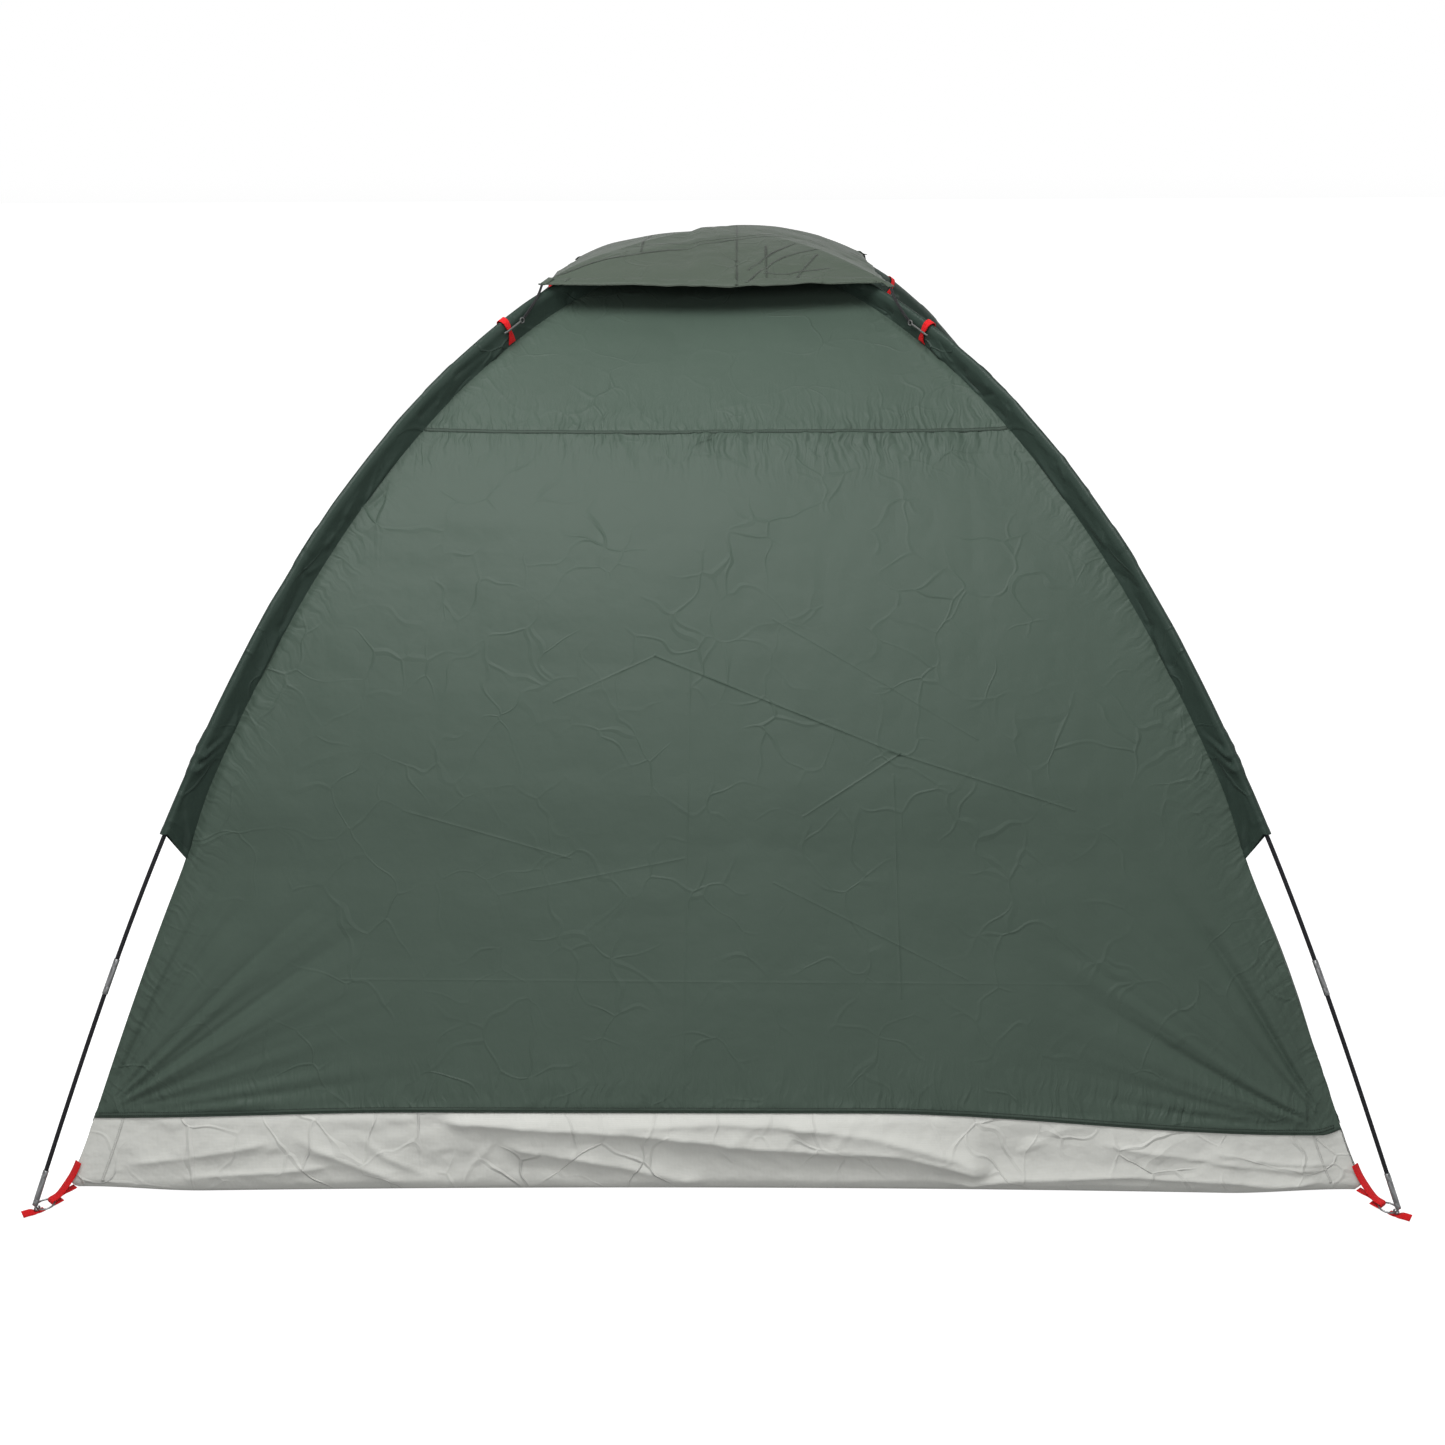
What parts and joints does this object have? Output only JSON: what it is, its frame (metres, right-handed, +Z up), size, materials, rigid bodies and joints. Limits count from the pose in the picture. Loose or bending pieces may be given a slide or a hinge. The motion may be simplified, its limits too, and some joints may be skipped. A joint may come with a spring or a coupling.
{
  "type": "dome tent",
  "caption": "Pitched two-pole dome tent with sleeved crossing poles, tub floor, drop-down door, mesh roof and a hooked-on rain cap.",
  "frame": {"origin": "on the ground under the middle of the floor", "axes": "+Z up, +Y towards the door, +X to the right seen from the back wall"},
  "size_m": [2.2746, 2.581, 1.475],
  "materials": {
    "wall_fabric": "grey-green coated polyester taffeta, faint sheen",
    "sleeve_fabric": "dark green polyester, matte",
    "cap_fabric": "coated polyester, satin sheen",
    "tub_fabric": "light grey woven polyethylene, satin",
    "mesh_fabric": "fine black netting",
    "fibreglass": "black fibreglass rod, satin",
    "steel": "zinc plated",
    "webbing_red": "woven polypropylene tape",
    "elastic": "braided elastic cord",
    "hook_plastic": "moulded nylon",
    "zip_metal": "black enamelled"
  },
  "bodies": {
    "tent": {"floor_tub": "tub_fabric", "back_wall": "wall_fabric", "left_wall": "wall_fabric", "right_wall": "wall_fabric", "front_wall": "wall_fabric", "roof_mesh": "mesh_fabric", "crown_ferrule_upper_pole": "steel", "crown_ferrule_lower_pole": "steel", "pole_tip_back_left": "steel", "pole_lower_back_left": "fibreglass", "pole_ferrule_back_left": "steel", "pole_upper_back_left": "fibreglass", "pole_sleeve_back_left": "sleeve_fabric", "corner_ring_back_left": "steel", "corner_pin_back_left": "steel", "corner_strap_back_left": "webbing_red", "sleeve_loop_back_left": "webbing_red", "pole_tip_back_right": "steel", "pole_lower_back_right": "fibreglass", "pole_ferrule_back_right": "steel", "pole_upper_back_right": "fibreglass", "pole_sleeve_back_right": "sleeve_fabric", "corner_ring_back_right": "steel", "corner_pin_back_right": "steel", "corner_strap_back_right": "webbing_red", "sleeve_loop_back_right": "webbing_red", "pole_tip_front_right": "steel", "pole_lower_front_right": "fibreglass", "pole_ferrule_front_right": "steel", "pole_upper_front_right": "fibreglass", "pole_sleeve_front_right": "sleeve_fabric", "corner_ring_front_right": "steel", "corner_pin_front_right": "steel", "corner_strap_front_right": "webbing_red", "sleeve_loop_front_right": "webbing_red", "pole_tip_front_left": "steel", "pole_lower_front_left": "fibreglass", "pole_ferrule_front_left": "steel", "pole_upper_front_left": "fibreglass", "pole_sleeve_front_left": "sleeve_fabric", "corner_ring_front_left": "steel", "corner_pin_front_left": "steel", "corner_strap_front_left": "webbing_red", "sleeve_loop_front_left": "webbing_red"},
    "door": {"door_panel": "wall_fabric"},
    "slider_left": {"zip_slider_left": "zip_metal"},
    "slider_right": {"zip_slider_right": "zip_metal"},
    "pull_left": {"zip_pull_left": "zip_metal"},
    "pull_right": {"zip_pull_right": "zip_metal"},
    "cap": {"rain_cap": "cap_fabric", "cap_hook_back_left": "hook_plastic", "cap_hook_back_right": "hook_plastic", "cap_hook_front_right": "hook_plastic", "cap_hook_front_left": "hook_plastic", "cap_tie_back_left": "elastic", "cap_tie_back_right": "elastic", "cap_tie_front_right": "elastic", "cap_tie_front_left": "elastic"}
  },
  "joints": [
    {"name": "door_drop", "type": "hinge", "parent": "tent", "child": "door", "pos_m": [0, 1.14218, 0.183], "axis": [-1, 0, 0], "range_deg": [0, 112]},
    {"name": "zip_left_slide", "type": "slide", "parent": "door", "child": "slider_left", "axis": [0, -0.3898, 0.9209], "range_m": [0, 0.22]},
    {"name": "zip_right_slide", "type": "slide", "parent": "door", "child": "slider_right", "axis": [0, -0.3898, 0.9209], "range_m": [0, 0.22]},
    {"name": "pull_left_swing", "type": "hinge", "parent": "slider_left", "child": "pull_left", "pos_m": [-0.4285, 1.12064, 0.26019], "axis": [1, 0, 0], "range_deg": [0, 150]},
    {"name": "pull_right_swing", "type": "hinge", "parent": "slider_right", "child": "pull_right", "pos_m": [0.4285, 1.12064, 0.26019], "axis": [1, 0, 0], "range_deg": [0, 150]},
    {"name": "cap_lift", "type": "slide", "parent": "tent", "child": "cap", "axis": [0, 0, 1], "range_m": [0, 0.3]}
  ]
}
